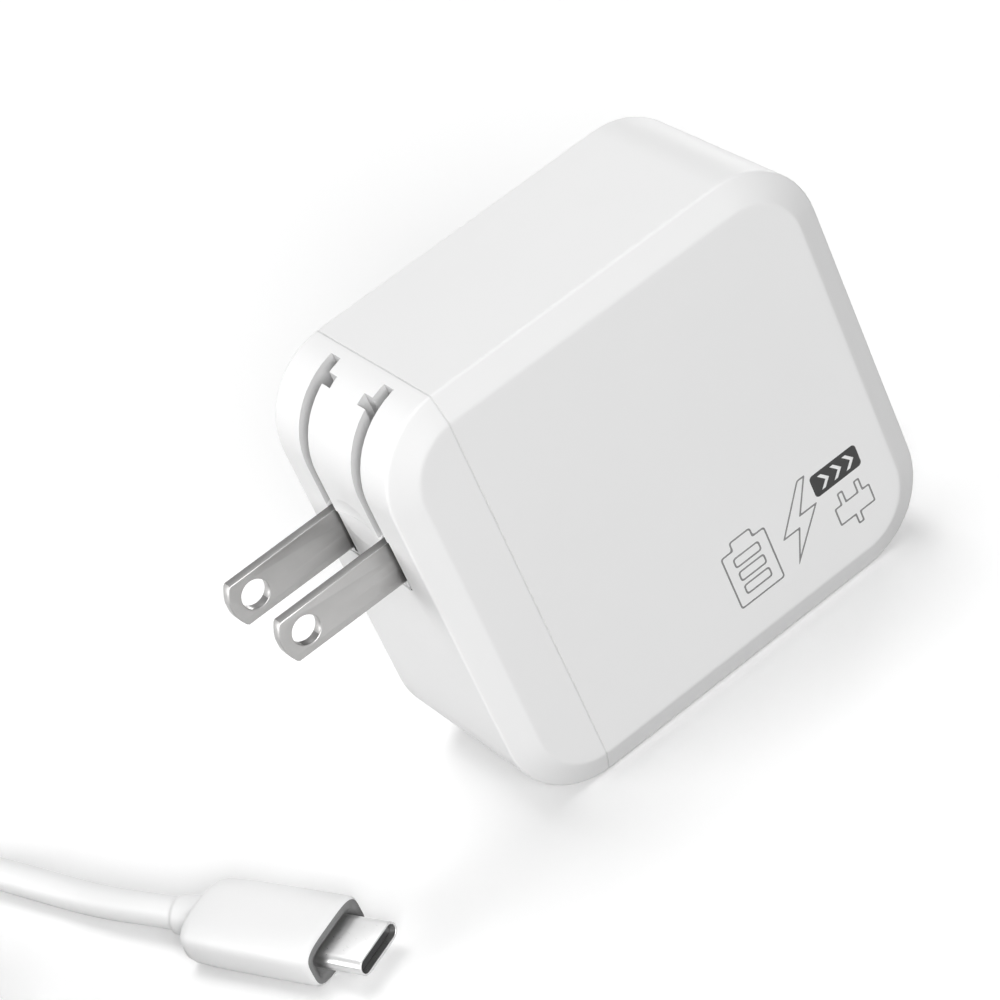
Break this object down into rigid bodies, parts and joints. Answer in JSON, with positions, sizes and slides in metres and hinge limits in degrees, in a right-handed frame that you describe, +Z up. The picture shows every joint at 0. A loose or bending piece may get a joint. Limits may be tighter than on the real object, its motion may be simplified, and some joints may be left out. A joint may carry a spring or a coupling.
{
  "type": "laptop power adapter",
  "caption": "Flat rounded white wall charger with folding flat blades at one end, a USB-C port at the other, and a separate coiled lead with a plug at each end.",
  "frame": {"origin": "bottom centre of the adapter with its blades out, on the surface it stands on; the free lead isn't counted", "axes": "+Z up, as the printed marks are read; blades point to -X, the port faces +X; the panel with the marks faces -Y"},
  "size_m": [0.2107, 0.0801, 0.062],
  "materials": {
    "housing": "fine matt",
    "carrier": "satin",
    "blade_metal": "nickel plate, satin",
    "spring_brass": "bright",
    "spring_steel": "bright",
    "inner_plastic": "satin",
    "board": "satin",
    "dark_plastic": "satin",
    "ferrite": "matt",
    "copper_wire": "enamelled",
    "yellow_plastic": "satin",
    "can_sleeve": "gloss",
    "blue_resin": "gloss",
    "can_metal": "satin",
    "port_metal": "satin",
    "spreader_metal": "satin",
    "pad": "matt",
    "sheet_film": "satin",
    "lead_white": "fine matt",
    "tie_strap": "matt"
  },
  "bodies": {
    "adapter": {"main_shell": "housing", "end_cap": "housing", "contact_front": "spring_brass", "contact_rear": "spring_brass", "contact_holder": "inner_plastic", "detent_spring": "spring_steel", "main_board": "board", "output_board": "board", "fuse": "dark_plastic", "choke_core": "ferrite", "choke_winding": "copper_wire", "noise_capacitor": "yellow_plastic", "bridge_rectifier": "dark_plastic", "bulk_capacitors": "can_sleeve", "transformer_core": "ferrite", "transformer_bobbin": "inner_plastic", "transformer_winding": "copper_wire", "power_chip": "dark_plastic", "safety_capacitor": "blue_resin", "output_capacitors": "can_metal", "receptacle_shell": "port_metal", "receptacle_tongue": "dark_plastic", "front_heat_spreader": "spreader_metal", "rear_heat_spreader": "spreader_metal", "thermal_pad": "pad", "insulating_sheet": "sheet_film", "near_plug_shell": "port_metal", "near_plug_grip": "lead_white", "far_plug_shell": "port_metal", "far_plug_grip": "lead_white", "lead_run": "lead_white", "lead_coil": "lead_white", "lead_tail": "lead_white", "lead_tie": "tie_strap"},
    "blades": {"blade_carrier": "carrier", "blade_front": "blade_metal", "blade_rear": "blade_metal"}
  },
  "joints": [
    {"name": "blade_fold", "type": "hinge", "parent": "adapter", "child": "blades", "pos_m": [-0.02125, 0, 0.0386], "axis": [0, 1, 0], "range_deg": [0, 90]}
  ]
}
